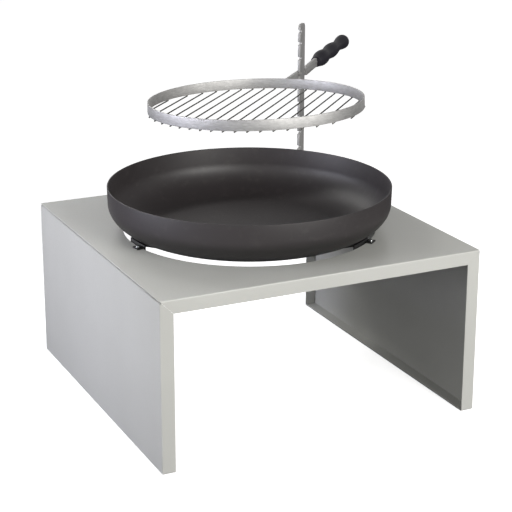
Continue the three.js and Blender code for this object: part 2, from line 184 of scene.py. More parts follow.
def moved(mesh, place):
    bmesh.ops.transform(mesh, matrix=place, verts=mesh.verts)
    return mesh


def joined(*meshes):
    whole = bmesh.new()
    for mesh in meshes:
        scratch = bpy.data.meshes.new("scratch")
        mesh.to_mesh(scratch)
        mesh.free()
        whole.from_mesh(scratch)
        bpy.data.meshes.remove(scratch)
    return whole


def scratchObject(mesh):
    bmesh.ops.recalc_face_normals(mesh, faces=mesh.faces)
    data = bpy.data.meshes.new("scratch")
    mesh.to_mesh(data)
    mesh.free()
    scratch = bpy.data.objects.new("scratch", data)
    bpy.context.scene.collection.objects.link(scratch)
    return scratch


def carve(mesh, *cutters, operation="DIFFERENCE"):
    body = scratchObject(mesh)
    tools = [scratchObject(cutter) for cutter in cutters]
    for tool in tools:
        step = body.modifiers.new("carve", "BOOLEAN")
        step.operation = operation
        step.solver = "EXACT"
        step.object = tool
    bpy.context.view_layer.update()
    result = bmesh.new()
    result.from_mesh(body.evaluated_get(bpy.context.evaluated_depsgraph_get()).data)
    for scratch in [body, *tools]:
        data = scratch.data
        bpy.data.objects.remove(scratch)
        bpy.data.meshes.remove(data)
    return result


# How a weld bead swells along its length
ripples = {"height": 0.14, "step": 2.1, "endSize": 0.45}


# Weld bead along a path: a small ring, extruded step by step
def bead(path, radius, sides=8):
    last = len(path) - 1

    def standAt(index):
        ahead = path[min(index + 1, last)] - path[max(index - 1, 0)]
        turn = ahead.to_track_quat("Z", "Y").to_matrix().to_4x4()
        size = radius * (1 + ripples["height"] * math.sin(index * ripples["step"]))
        if index in (0, last):
            size *= ripples["endSize"]
        return Matrix.Translation(path[index]) @ turn @ Matrix.Scale(size, 4)

    mesh = bmesh.new()
    bmesh.ops.create_circle(mesh, segments=sides, radius=1, matrix=standAt(0))
    loop = list(mesh.edges)
    for index in range(1, last + 1):
        grown = bmesh.ops.extrude_edge_only(mesh, edges=loop)["geom"]
        fresh = [item for item in grown if isinstance(item, bmesh.types.BMVert)]
        edges = [item for item in grown if isinstance(item, bmesh.types.BMEdge)]
        loop = [edge for edge in edges if all(vert in fresh for vert in edge.verts)]
        step = standAt(index) @ standAt(index - 1).inverted()
        bmesh.ops.transform(mesh, matrix=step, verts=fresh)
    bmesh.ops.holes_fill(mesh, edges=mesh.edges, sides=0)
    return mesh


def straight(start, end, steps):
    return [Vector(start).lerp(Vector(end), step / steps) for step in range(steps + 1)]


def finishPiece(name, mesh, place, material, body, nodes=(), smooth=35):
    bmesh.ops.remove_doubles(mesh, verts=mesh.verts, dist=mergeDistance)
    bmesh.ops.recalc_face_normals(mesh, faces=mesh.faces)
    moved(mesh, Matrix.Scale(mm, 4) @ place)
    openEdges = sum(len(edge.link_faces) != 2 for edge in mesh.edges)
    if openEdges:
        print(name, "has", openEdges, "open edges")
    limit = math.radians(smooth)
    for edge in mesh.edges:
        edge.smooth = len(edge.link_faces) == 2 and edge.calc_face_angle(0) < limit
    for face in mesh.faces:
        face.smooth = True
    data = bpy.data.meshes.new(name)
    mesh.to_mesh(data)
    mesh.free()
    data.materials.append(material)
    piece = bpy.data.objects.new(name, data)
    bpy.context.scene.collection.objects.link(piece)
    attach(piece, body)
    if nodes:
        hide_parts(*nodes)


# Heights of the bumps, in metres
bumpHeight = {"grain": 0.00006, "lines": 0.00008}


# Sets a node's inputs or links them to other nodes' outputs; an underscore stands for a space
def feed(tree, node, **inputs):
    for key, value in inputs.items():
        socket = node.inputs[key.replace("_", " ")]
        if hasattr(value, "is_output"):
            tree.links.new(value, socket)
        else:
            socket.default_value = value
    return node


def addNode(tree, kind, **inputs):
    return feed(tree, tree.nodes.new("ShaderNode" + kind), **inputs)


# Node groups that several materials share
def startGroup(name, inputs, outputs):
    tree = bpy.data.node_groups.new(name, "ShaderNodeTree")
    for label, value in inputs.items():
        kind = "NodeSocketVector" if isinstance(value, tuple) else "NodeSocketFloat"
        socket = tree.interface.new_socket(name=label, in_out="INPUT", socket_type=kind)
        socket.default_value = value
    for label in outputs:
        kind = "NodeSocketVector" if label == "Normal" else "NodeSocketFloat"
        tree.interface.new_socket(name=label, in_out="OUTPUT", socket_type=kind)
    given, out = tree.nodes.new("NodeGroupInput"), tree.nodes.new("NodeGroupOutput")
    return tree, given.outputs, out


def bumped(tree, height, strength, distance):
    bump = addNode(tree, "Bump", Height=height, Strength=strength, Distance=distance)
    return bump.outputs["Normal"]


# Fine even grain of a sprayed or baked coat
def makeGrainGroup():
    defaults = {"Size": 800.0, "Depth": 0.2}
    tree, given, out = startGroup("coat_grain", defaults, ("Mask", "Normal"))
    place = addNode(tree, "TexCoord").outputs["Object"]
    noise = addNode(tree, "TexNoise", Vector=place, Scale=given["Size"], Detail=2.0)
    normal = bumped(tree, noise.outputs["Fac"], given["Depth"], bumpHeight["grain"])
    feed(tree, out, Mask=noise.outputs["Fac"], Normal=normal)
    return tree


# Long thin scratches: the pattern is turned first and then stretched
def makeBrushedGroup():
    defaults = {"Turn": (0.0, 0.0, 0.0), "Stretch": (1.0, 1.0, 1.0), "Size": 300.0, "Depth": 0.3}
    tree, given, out = startGroup("brushed_lines", defaults, ("Lines", "Normal"))
    place = addNode(tree, "TexCoord").outputs["Object"]
    turned = addNode(tree, "Mapping", Vector=place, Rotation=given["Turn"])
    stretch = addNode(tree, "VectorMath")
    stretch.operation = "MULTIPLY"
    tree.links.new(turned.outputs["Vector"], stretch.inputs[0])
    tree.links.new(given["Stretch"], stretch.inputs[1])
    noise = addNode(tree, "TexNoise", Scale=given["Size"], Detail=6.0, Roughness=0.7)
    feed(tree, noise, Vector=stretch.outputs["Vector"])
    normal = bumped(tree, noise.outputs["Fac"], given["Depth"], bumpHeight["lines"])
    feed(tree, out, Lines=noise.outputs["Fac"], Normal=normal)
    return tree


# Broad soft clouds, pulled to full contrast between two levels
def makeMottleGroup():
    defaults = {"Size": 8.0, "Low": 0.35, "High": 0.65}
    tree, given, out = startGroup("soft_mottle", defaults, ("Mask",))
    place = addNode(tree, "TexCoord").outputs["Object"]
    noise = addNode(tree, "TexNoise", Vector=place, Scale=given["Size"], Detail=4.0)
    spread = addNode(tree, "MapRange", From_Min=given["Low"], From_Max=given["High"])
    feed(tree, spread, Value=noise.outputs["Fac"])
    feed(tree, out, Mask=spread.outputs["Result"])
    return tree


# Full on faces that look down, none on those that look up or sideways
def makeUndersideGroup():
    tree, given, out = startGroup("underside", {"Start": -0.1, "Full": -0.7}, ("Mask",))
    split = addNode(tree, "SeparateXYZ", Vector=addNode(tree, "TexCoord").outputs["Normal"])
    spread = addNode(tree, "MapRange", From_Min=given["Start"], From_Max=given["Full"])
    spread.interpolation_type = "SMOOTHSTEP"
    feed(tree, spread, Value=split.outputs["Z"])
    feed(tree, out, Mask=spread.outputs["Result"])
    return tree


coatGrain = makeGrainGroup()
brushedLines = makeBrushedGroup()
softMottle = makeMottleGroup()
underside = makeUndersideGroup()


# Levels of 0 to 255 as a colour picker shows them, made linear
def screenColour(*levels):
    linear = []
    for level in levels:
        value = level / 255
        linear.append(value / 12.92 if value <= 0.04045 else ((value + 0.055) / 1.055) ** 2.4)
    return (*linear, 1)


noiseRange = (0.3, 0.7)  # nearly all of a noise lies between these


class MaterialMaker:
    def __init__(self, name):
        self.material = bpy.data.materials.new(name)
        self.material.use_nodes = True
        self.tree = self.material.node_tree

    def place(self, group, **values):
        node = self.tree.nodes.new("ShaderNodeGroup")
        node.node_tree = group
        return feed(self.tree, node, **values).outputs

    # Brings a noise's usual range to two values
    def span(self, source, low, high):
        node = addNode(self.tree, "MapRange", Value=source, To_Min=low, To_Max=high)
        feed(self.tree, node, From_Min=noiseRange[0], From_Max=noiseRange[1])
        return node.outputs["Result"]

    # Two colours, given by their levels or by another blend
    def blend(self, factor, first, second):
        node = self.tree.nodes.new("ShaderNodeMix")
        node.data_type = "RGBA"
        self.tree.links.new(factor, node.inputs[0])
        for socket, colour in ((node.inputs[6], first), (node.inputs[7], second)):
            if hasattr(colour, "is_output"):
                self.tree.links.new(colour, socket)
            else:
                socket.default_value = screenColour(*colour)
        return node.outputs[2]

    def surface(self, **values):
        feed(self.tree, self.tree.nodes["Principled BSDF"], **values)
        return self.material


# Two mottled colours under a fine grain; one of the two also sets the roughness
def makeCoat(name, look):
    maker = MaterialMaker(name)
    grain = maker.place(coatGrain, **look["grain"])
    cloud = maker.place(softMottle, **look["mottle"])
    worn = {"grain": grain, "mottle": cloud}[look["roughBy"]]
    return maker.surface(
        Base_Color=maker.blend(cloud["Mask"], look["colour"], look["cloud"]),
        Roughness=maker.span(worn["Mask"], *look["roughness"]),
        Specular_IOR_Level=look["shine"],
        Metallic=look["metal"],
        Normal=grain["Normal"],
    )


paintLook = {
    "colour": (184, 184, 180),
    "cloud": (188, 188, 184),
    "mottle": {"Size": 7.0, "Low": 0.3, "High": 0.7},
    "grain": {"Size": 900.0, "Depth": 0.16},
    "roughness": (0.27, 0.36),
    "roughBy": "grain",
    "shine": 0.5,
    "metal": 0.0,
}
clipLook = {
    "colour": (11, 11, 12),
    "cloud": (18, 17, 18),
    "mottle": {"Size": 40.0, "Low": 0.35, "High": 0.65},
    "grain": {"Size": 600.0, "Depth": 0.3},
    "roughness": (0.35, 0.5),
    "roughBy": "grain",
    "shine": 0.5,
    "metal": 0.0,
}
zincLook = {
    "colour": (182, 184, 184),
    "cloud": (160, 163, 164),
    "mottle": {"Size": 260.0, "Low": 0.3, "High": 0.7},
    "grain": {"Size": 900.0, "Depth": 0.2},
    "roughness": (0.25, 0.42),
    "roughBy": "mottle",
    "shine": 0.5,
    "metal": 1.0,
}
# The cloud is the straw colour left by the heat
weldLook = {
    "colour": (182, 180, 174),
    "cloud": (152, 144, 130),
    "mottle": {"Size": 180.0, "Low": 0.35, "High": 0.7},
    "grain": {"Size": 500.0, "Depth": 0.6},
    "roughness": (0.3, 0.5),
    "roughBy": "grain",
    "shine": 0.5,
    "metal": 1.0,
}
bowlLook = {
    "colour": (43, 39, 40),
    "cloud": (48, 44, 45),
    "mottle": {"Size": 5.0, "Low": 0.38, "High": 0.62},
    "dust": (56, 52, 52),
    "dustSpots": {"Size": 60.0, "Low": 0.55, "High": 0.8},
    "paintedShade": (24, 21, 21),  # painted shade: faces that look down are darker, as if in shadow
    "paintedShadeFaces": {"Start": -0.02, "Full": -0.6},
    "grain": {"Size": 650.0, "Depth": 0.3},
    "roughness": (0.46, 0.56),
    "shine": 0.55,
}


def makeBowlCoat(look):
    maker = MaterialMaker("heat_coat")
    grain = maker.place(coatGrain, **look["grain"])
    cloud = maker.place(softMottle, **look["mottle"])
    dust = maker.place(softMottle, **look["dustSpots"])
    # Faces that look down are blended to a darker colour: painted shade
    low = maker.place(underside, **look["paintedShadeFaces"])
    clean = maker.blend(cloud["Mask"], look["colour"], look["cloud"])
    dusty = maker.blend(dust["Mask"], clean, look["dust"])
    return maker.surface(
        Base_Color=maker.blend(low["Mask"], dusty, look["paintedShade"]),
        Roughness=maker.span(grain["Mask"], *look["roughness"]),
        Specular_IOR_Level=look["shine"],
        Normal=grain["Normal"],
    )


# How much the brushed lines are drawn out along X, Y and Z
brush = {
    "along": (0.05, 1.0, 1.0),
    "upright": (1.0, 1.0, 0.05),
    "turned": (0.4, 0.4, 1.6),
    "lacquered": (0.12, 1.0, 1.0),
}
steelLook = {
    "colour": (224, 223, 222),
    "dark": (148, 147, 146),
    "lines": {"Size": 200.0, "Depth": 0.3},
    "mottle": {"Size": 14.0, "Low": 0.2, "High": 0.8},
    "roughness": (0.6, 0.68),
}
# Painted shade and painted reflection: the rods' steel is darker than the same steel elsewhere,
# standing in for the dark bowl below them
rodShadedLook = {**steelLook, "colour": (128, 127, 124), "dark": (104, 103, 100)}


def makeSteel(name, look, stretch, turn=(0.0, 0.0, 0.0)):
    maker = MaterialMaker(name)
    lines = maker.place(brushedLines, Turn=turn, Stretch=stretch, **look["lines"])
    cloud = maker.place(softMottle, **look["mottle"])
    return maker.surface(
        Base_Color=maker.blend(lines["Lines"], look["dark"], look["colour"]),
        Roughness=maker.span(cloud["Mask"], *look["roughness"]),
        Normal=lines["Normal"],
        Metallic=1.0,
    )


lacquerLook = {
    "colour": (12, 11, 16),
    "grain": (48, 46, 54),
    "lines": {"Size": 130.0, "Depth": 0.3},
    "roughness": (0.42, 0.58),
    "shine": 0.16,
    "coat": 0.03,
    "coatRoughness": 0.3,
}


def makeLacquer(look, turn):
    maker = MaterialMaker("black_lacquer")
    grain = maker.place(brushedLines, Turn=turn, Stretch=brush["lacquered"], **look["lines"])
    return maker.surface(
        Base_Color=maker.blend(grain["Lines"], look["colour"], look["grain"]),
        Roughness=maker.span(grain["Lines"], *look["roughness"]),
        Specular_IOR_Level=look["shine"],
        Coat_Weight=look["coat"],
        Coat_Roughness=look["coatRoughness"],
        Normal=grain["Normal"],
    )


towardsArm = (0.0, 0.0, -math.radians(stand["turn"]))
paint = makeCoat("powder_coat", paintLook)
bowlCoat = makeBowlCoat(bowlLook)
clipCoat = makeCoat("black_coat", clipLook)
steelAlong = makeSteel("steel_brushed_along", steelLook, brush["along"], towardsArm)
steelRodShaded = makeSteel("steel_rod_painted_shade", rodShadedLook, brush["along"], towardsArm)
steelUpright = makeSteel("steel_brushed_upright", steelLook, brush["upright"])
steelTurned = makeSteel("steel_turned", steelLook, brush["turned"])
lacquer = makeLacquer(lacquerLook, towardsArm)
zinc = makeCoat("zinc_plate", zincLook)
weld = makeCoat("weld_bead", weldLook)
print("materials made")

table = {
    "sheet": 3.0,
    "band": 28.0,
    "bend": 2.6,
    "sideBend": 1.1,
    "hole": 268.0,
    "holeSteps": 256,
    "socketHole": 18.0,
    "lip": 1.6,  # edge of the top that shows above the side seam
    "seam": 1.8,
    "seamDepth": 2.5,
    "seamSkin": 0.5,  # sheet left in front of the seam's depth
    "seamRound": 0.2,
    "mitre": 0.2,
    "mitreStart": 0.05,
    "mitreRun": 5.0,  # how far the mitre runs past the band
    "strip": 1.0,  # drop of the strip that closes a side tray's top
}


# Outline in X and Z, extruded along Y
def prism(outline, y):
    mesh = bmesh.new()
    face = mesh.faces.new([mesh.verts.new((x, y[0], z)) for x, z in outline])
    grown = bmesh.ops.extrude_face_region(mesh, geom=[face])["geom"]
    fresh = [item for item in grown if isinstance(item, bmesh.types.BMVert)]
    bmesh.ops.translate(mesh, verts=fresh, vec=(0, y[1] - y[0], 0))
    return mesh


# Edges on the table's two sides that run from front to rear at one height
def sideEdges(mesh, z):
    def keep(middle):
        return abs(middle.z - z) < near and abs(middle.x) > halfWide - near

    return edgesAlong(mesh, 1, keep)


# The folded box in one mesh, before it is parted at the seams
def tableShell():
    sheet, band = table["sheet"], table["band"]
    shell = block((-halfWide, halfWide), (-halfDeep, halfDeep), (0, tableTopZ))
    topSides = sideEdges(shell, tableTopZ)
    roundEdges(shell, [edge for edge in shell.edges if edge not in topSides], table["bend"])
    roundEdges(shell, sideEdges(shell, tableTopZ), table["sideBend"])
    wall, leg = halfWide - sheet, halfWide - band
    deep, through = halfDeep + overrun, (tableTopZ - overrun, tableTopZ + overrun)
    spot = postMiddle - tableMiddle
    return carve(
        shell,
        block((-wall, wall), (-halfDeep + sheet, halfDeep - sheet), (sheet, tableTopZ - sheet)),
        block((-leg, leg), (-deep, deep), (-overrun, tableTopZ - band)),
        drum(table["hole"], through, segments=table["holeSteps"]),
        drum(table["socketHole"], through, spot.x, spot.y, 48),
    )


# A side tray runs up to the seam under the top's edge, and to a mitre across the bands
def buildTable():
    shell = tableShell()
    sheet, band = table["sheet"], table["band"]
    wall, inner = halfWide - sheet, halfWide - band - table["mitreRun"]
    under, lipZ = tableTopZ - sheet, tableTopZ - table["lip"]
    mitreZ = under - (wall - inner)
    far, high = halfWide + overrun, tableTopZ + overrun
    deep = (-halfDeep - overrun, halfDeep + overrun)

    seamZ = lipZ - table["seam"]
    skin, grooveZ = halfWide - table["seamSkin"], seamZ - table["seamDepth"]
    sideOutline = [(far, -overrun), (far, seamZ), (skin, seamZ), (skin, grooveZ), (wall, grooveZ)]
    sideOutline += [(wall - table["mitreStart"], under - table["mitre"])]
    sideOutline += [(inner, mitreZ - table["mitre"]), (inner, -overrun)]
    stripZ = under - table["strip"]
    sides = ((-1, "left_side_panel", "left_panel"), (1, "right_side_panel", "right_panel"))
    for side, name, node in sides:
        region = prism([(side * x, z) for x, z in sideOutline], deep)
        panel = carve(shell.copy(), region, operation="INTERSECT")
        roundEdges(panel, sideEdges(panel, seamZ), table["seamRound"], 4)
        x = sorted((side * (halfWide - band), side * (wall - near)))
        strip = block(x, (-halfDeep + sheet, halfDeep - sheet), (stripZ - sheet, stripZ))
        finishPiece(name, joined(panel, strip), atTable, paint, "table", [node], smooth=30)

    half = [(inner, mitreZ), (wall, under), (wall, lipZ), (far, lipZ), (far, high)]
    topOutline = [(-x, z) for x, z in reversed(half)] + half
    top = carve(shell, prism(topOutline, deep), operation="INTERSECT")
    roundEdges(top, sideEdges(top, lipZ), table["seamRound"], 2)
    finishPiece("table_top_sheet", top, atTable, paint, "table", ["table_top"], smooth=30)


buildTable()
print("table made")

bowl = {
    "radius": 300.0,
    "rim": 444.0,
    "wall": 3.0,
    "wallHeight": 35.0,
    "taper": 1.0,
    "curveReach": 101.5,
    "curveHeight": 65.0,
    "curveSteps": 28,
    "rimRound": 0.8,
    "sides": 240,
}
curveTopZ = bowl["rim"] - bowl["wallHeight"]
floorRadius = bowl["radius"] - bowl["taper"] - bowl["curveReach"]


# Quarter ellipse from the edge of the floor up to the wall
def bowlCurve(inset):
    steps = bowl["curveSteps"]
    reach, height = bowl["curveReach"] - inset, bowl["curveHeight"] - inset
    curve = []
    for step in range(steps + 1):
        turn = math.pi / 2 * step / steps
        curve.append((floorRadius + reach * math.sin(turn), curveTopZ - height * math.cos(turn)))
    return curve


def buildBowl():
    wall, edge, rim = bowl["wall"], bowl["rimRound"], bowl["rim"]
    base = curveTopZ - bowl["curveHeight"]
    outside = [(0, base), (floorRadius / 2, base), *bowlCurve(0)]
    lip = arc((bowl["radius"] - edge, rim - edge), edge, 0, 90, 4)
    lip += arc((bowl["radius"] - wall + edge, rim - edge), edge, 90, 180, 4)
    inside = [*reversed(bowlCurve(wall)), (floorRadius / 2, base + wall), (0, base + wall)]
    mesh = lathe(outside + lip + inside, bowl["sides"])
    finishPiece("spun_fire_bowl", mesh, atTable, bowlCoat, "bowl", ["fire_bowl"], smooth=50)


buildBowl()
print("bowl made")

clip = {
    "turns": (64.5, 184.5, 304.5),
    "span": 14.0,
    "boltTurn": 4.8,
    "lipSpan": 4.0,
    "lipReach": 14.0,
    "sheet": 3.0,
    "play": 2.0,
    "drop": 17.0,
    "saddle": 245.0,  # radius at which the bowl rests
    "saddleReach": 9.0,
    "saddleGaps": 1.5,  # room under the bowl, as a multiple of the shared gap
    "bend": 1.5,
    "chamfer": 0.5,
}


# A clip's web with its sloping saddle, as radius and height
def clipWeb(inner, outer):
    sheet, bend, chamfer = clip["sheet"], clip["bend"], clip["chamfer"]
    across = (clip["saddle"] - floorRadius) / bowl["curveReach"]
    down = math.sqrt(1 - across * across)
    room = clip["saddleGaps"] * stand["gap"]
    restZ = curveTopZ - bowl["curveHeight"] * down - room
    slope = bowl["curveHeight"] * across / (bowl["curveReach"] * down)
    tip = clip["saddle"] - clip["saddleReach"]
    thick = sheet * math.hypot(1, slope)

    def saddle(radius):
        return restZ + (radius - clip["saddle"]) * slope

    web = [(tip, saddle(tip) - thick), (inner - bend, saddle(inner - bend) - thick)]
    web += [(inner, saddle(inner) - thick - bend), (inner, tableTopZ - clip["drop"])]
    web += [(outer, tableTopZ - clip["drop"]), (outer, saddle(inner) - bend)]
    web += [(outer - chamfer, saddle(inner) - chamfer), (inner, saddle(inner))]
    return web + [(tip, saddle(tip))]


# A clip's flat lip on the table's top, as radius and height
def clipLip(inner):
    sheet, bend, chamfer = clip["sheet"], clip["bend"], clip["chamfer"]
    low = tableTopZ + stand["gap"]
    end = table["hole"] + clip["lipReach"]
    lip = [(inner + bend, low), (end - chamfer, low), (end, low + chamfer)]
    lip += [(end, low + sheet - chamfer), (end - chamfer, low + sheet)]
    return lip + [(inner + bend, low + sheet)]


def buildClips():
    outer = table["hole"] - clip["play"]
    inner = outer - clip["sheet"]
    halfWeb, halfLip = clip["span"] / 2, clip["lipSpan"] / 2
    for index, turn in enumerate(clip["turns"], 1):
        bolt = turn + clip["boltTurn"]
        mesh = joined(
            sweepSector(clipWeb(inner, outer), turn - halfWeb, turn + halfWeb, 12),
            sweepSector(clipLip(inner), bolt - halfLip, bolt + halfLip, 6),
        )
        name, node = f"clip_sheet_{index}", f"bowl_clip_{index}"
        finishPiece(name, mesh, atTable, clipCoat, "table", [node], smooth=40)


# A bolt or stud is a radius and a reach, a nut the radius of its bore
fastener = {
    "clipBolt": (2.5, 13.9),
    "socketBolt": (3.0, 15.9),
    "stud": (3.0, 13.0),
    "clipNut": 2.8,
    "otherNut": 3.3,
    "head": 4.8,
    "headHeight": 3.2,
    "headEdge": 0.3,  # upright part of the head's height
    "socket": 0.45,  # of the head's radius
    "socketFloor": 0.4,  # of the head's height
    "nutWidth": 10.0,
    "nutHeight": 5.0,
    "nutFace": 0.1,  # how far the flat face stays inside the nut's width
    "nutCone": (0.2, 0.7),  # the cone that trims the corners, outwards and down
}
# Crest and root as parts of the pitch, the root's and the tip's radius as parts of the shank's
thread = {"pitch": 0.9, "crest": 0.3, "root": 0.8, "rootRadius": 0.86, "tipRadius": 0.8}


# Ridges of a thread down a shank, from one height to a lower one
def threadProfile(radius, top, bottom):
    pitch, root = thread["pitch"], radius * thread["rootRadius"]
    turns = int((top - bottom) / pitch)
    profile = []
    for step in range(turns):
        z = top - step * pitch
        profile += [(radius, z - pitch * thread["crest"]), (root, z - pitch * thread["root"])]
    return profile + [(radius * thread["tipRadius"], bottom), (0, bottom)]


# Button head with a hexagon socket, its seat at z = 0
def buttonBolt(radius, reach):
    head, height, edge = fastener["head"], fastener["headHeight"], fastener["headEdge"]
    dome = []
    for angle in range(75, -1, -15):
        turn = math.radians(angle)
        dome.append((head * math.cos(turn), height * (edge + (1 - edge) * math.sin(turn))))
    shank = threadProfile(radius, 0, -reach)
    body = lathe([(0, height), *dome, (head, 0), (radius, 0), *shank], 24)
    depth = (height * fastener["socketFloor"], height + 1)
    return carve(body, drum(head * fastener["socket"], depth, segments=6))


# Nut hanging below its seat at z = 0
def hexNut(bore):
    width, height = fastener["nutWidth"], fastener["nutHeight"]
    out, down = fastener["nutCone"]
    corner = width / 2 / math.cos(math.pi / 6)
    face, rim = width / 2 - fastener["nutFace"], corner + out
    cone = [(0, 0), (face, 0), (rim, -down), (rim, -height + down), (face, -height), (0, -height)]
    blank = drum(corner, (-height, 0), segments=6)
    blank = carve(blank, lathe(cone, 48), operation="INTERSECT")
    return carve(blank, drum(bore, (-height - 1, 1), segments=24))


def buildFasteners():
    clipBolt, socketBolt = buttonBolt(*fastener["clipBolt"]), buttonBolt(*fastener["socketBolt"])
    clipNut, otherNut = hexNut(fastener["clipNut"]), hexNut(fastener["otherNut"])
    radius, reach = fastener["stud"]
    stud = lathe([(0, 1), (radius, 1)] + threadProfile(radius, 0, -reach), 20)
    kinds = [("clip_bolt", "clip_screw", clipBolt, 3)]
    kinds += [("socket_bolt", "socket_screw", socketBolt, 4)]
    kinds += [("clip_nut", "clip_hex_nut", clipNut, 3)]
    kinds += [("socket_nut", "socket_hex_nut", otherNut, 4)]
    kinds += [("panel_nut", "panel_hex_nut", otherNut, 4)]
    for kind, label, template, count in kinds:
        for index in range(1, count + 1):
            name, node = f"{label}_{index}", f"{kind}_{index}"
            low, high = boxOf(node)
            middle = (low + high) / 2
            seat = high.z - (fastener["headHeight"] if "bolt" in kind else 0)
            place = Matrix.Translation((middle.x, middle.y, seat))
            finishPiece(name, template.copy(), place, zinc, "table", [node], smooth=30)
            if kind == "panel_nut":
                name, under = f"panel_stud_{index}", tableTopZ - table["sheet"]
                place = Matrix.Translation((middle.x, middle.y, under))
                finishPiece(name, stud.copy(), place, zinc, "table")


buildClips()
buildFasteners()
print("clips and fasteners made")

post = {
    "width": 40.0,
    "thick": 6.0,
    "corner": 12.0,
    "notchDepth": 12.0,
    "notchHeight": 7.0,
    "notchRound": 0.98,  # part of the notch's half height that is rounded
    "firstNotch": 15.5,
    "secondNotch": 27.5,
    "pitch": 34.5,
    "notches": 9,
    "edge": 0.45,
}
socket = {
    "bore": 12.8,
    "boreEdge": 0.8,
    "tube": 17.3,
    "tubeEdge": 0.6,
    "fillet": 1.0,
    "flange": 42.0,
    "flangeHeight": 5.0,
    "flangeEdge": 0.4,
    "flangeRound": 1.2,
}
foot = {
    "radius": 23.0,
    "height": 6.0,
    "edge": 0.5,
    "round": 1.5,
    "spigot": 12.5,
    "lead": 1.5,
    "neck": (0.6, 1.0, 1.2),  # depth of the groove, and how far down it starts and ends
    "bead": 1.7,
    "beadPlace": (0.2, 0.4, 0.6),  # into the bar's ends, out from its faces, up
}


def buildPost():
    low, high = boxOf("notched_post")
    half = post["width"] / 2
    bar = block((-half, half), (-post["thick"] / 2, post["thick"] / 2), (low.z, high.z))
    topCorners = edgesAlong(bar, 1, lambda middle: middle.z > high.z - near)
    roundEdges(bar, topCorners, post["corner"], 10)
    second = high.z - post["firstNotch"] - post["secondNotch"]
    levels = [high.z - post["firstNotch"]]
    levels += [second - step * post["pitch"] for step in range(post["notches"] - 1)]
    depth, reach = post["notchDepth"], post["notchHeight"] / 2
    notches = []
    for level in levels:
        x, z = (-half - overrun, -half + depth), (level - reach, level + reach)
        notch = block(x, (-overrun, overrun), z)
        inner = edgesAlong(notch, 1, lambda middle: middle.x > -half)
        roundEdges(notch, inner, reach * post["notchRound"], 6)
        notches.append(notch)
    bar = carve(bar, joined(*notches))
    roundEdges(bar, sharpEdges(bar), post["edge"], 2)
    finishPiece("post_bar", bar, atPost, steelUpright, "post", ["notched_post"])


def buildSocket():
    low, high = boxOf("post_socket")
    flangeLow = high.z - socket["flangeHeight"]
    bore, tube, flange = socket["bore"], socket["tube"], socket["flange"]
    edge, fillet = socket["tubeEdge"], socket["fillet"]
    profile = [(bore, low.z + edge), (bore + edge, low.z)]
    profile += [(tube - edge, low.z), (tube, low.z + edge)]
    profile += arc((tube + fillet, flangeLow - fillet), fillet, 180, 90, 3)
    edge, bend = socket["flangeEdge"], socket["flangeRound"]
    profile += [(flange - edge, flangeLow), (flange, flangeLow + edge)]
    profile += arc((flange - bend, high.z - bend), bend, 0, 90, 5)
    edge = socket["boreEdge"]
    profile += [(bore + edge, high.z), (bore, high.z - edge), profile[0]]
    mesh = lathe(profile, 96)
    finishPiece("socket_turned", mesh, atSocket, steelTurned, "table", ["post_socket"], smooth=45)


def buildFoot():
    low, high = boxOf("post_foot")
    base = high.z - foot["height"]
    spigot, radius, lead, edge = foot["spigot"], foot["radius"], foot["lead"], foot["edge"]
    neckDepth, neckStart, neckEnd = foot["neck"]
    profile = [(0, low.z), (spigot - lead, low.z), (spigot, low.z + lead)]
    profile += [(spigot, base - neckEnd), (spigot - neckDepth, base - neckStart)]
    profile += [(spigot - neckDepth, base), (radius - edge, base), (radius, base + edge)]
    profile += arc((radius - foot["round"], high.z - foot["round"]), foot["round"], 0, 90, 6)
    mesh = lathe([*profile, (0, high.z)], 96)
    finishPiece("foot_turned", mesh, atSocket, steelTurned, "post", ["post_foot"], smooth=45)

    within, out, up = foot["beadPlace"]
    half, thick, z = post["width"] / 2, post["thick"] / 2, high.z + up
    paths = []
    for y in (-thick - out, thick + out):
        paths.append(straight((-half, y, z), (half, y, z), 34))
    for x in (within - half, half - within):
        paths.append(straight((x, -thick, z), (x, thick, z), 6))
    beads = joined(*[bead(path, foot["bead"]) for path in paths])
    finishPiece("foot_weld", beads, atPost, weld, "post", smooth=60)


buildPost()
buildSocket()
buildFoot()
print("post and socket made")

grate = {
    "radius": 225.0,
    "height": 22.0,
    "thick": 3.0,
    "top": 12.0,
    "edge": 0.5,
    "sides": 224,
    "barRadius": 1.5,
    "barRound": 0.4,
    "pitch": 24.1,
    "bars": 19,
    "overhang": 1.2,
    "bead": 0.75,
    "beadReach": 1.3,  # half of a bead's length
    "beadPlace": (0.3, 1.35, 0.3),  # along the bar, beside it, below the ring
}
ringBottom = grate["top"] - grate["height"]


# Four short beads where a bar crosses the ring, two at each end
def barWelds(offset, z):
    middle = grate["radius"] - grate["thick"] / 2
    reach = math.sqrt(middle**2 - offset**2)
    along, beside, below = grate["beadPlace"]
    beads = []
    for side in (-1, 1):
        for turn in (-1, 1):
            spot = Vector((side * (reach - turn * along), offset + turn * beside, z - below))
            slope = Vector((offset, -side * reach, 0)).normalized() * grate["beadReach"]
            beads.append(bead(straight(spot - slope, spot + slope, 3), grate["bead"], sides=6))
    return beads


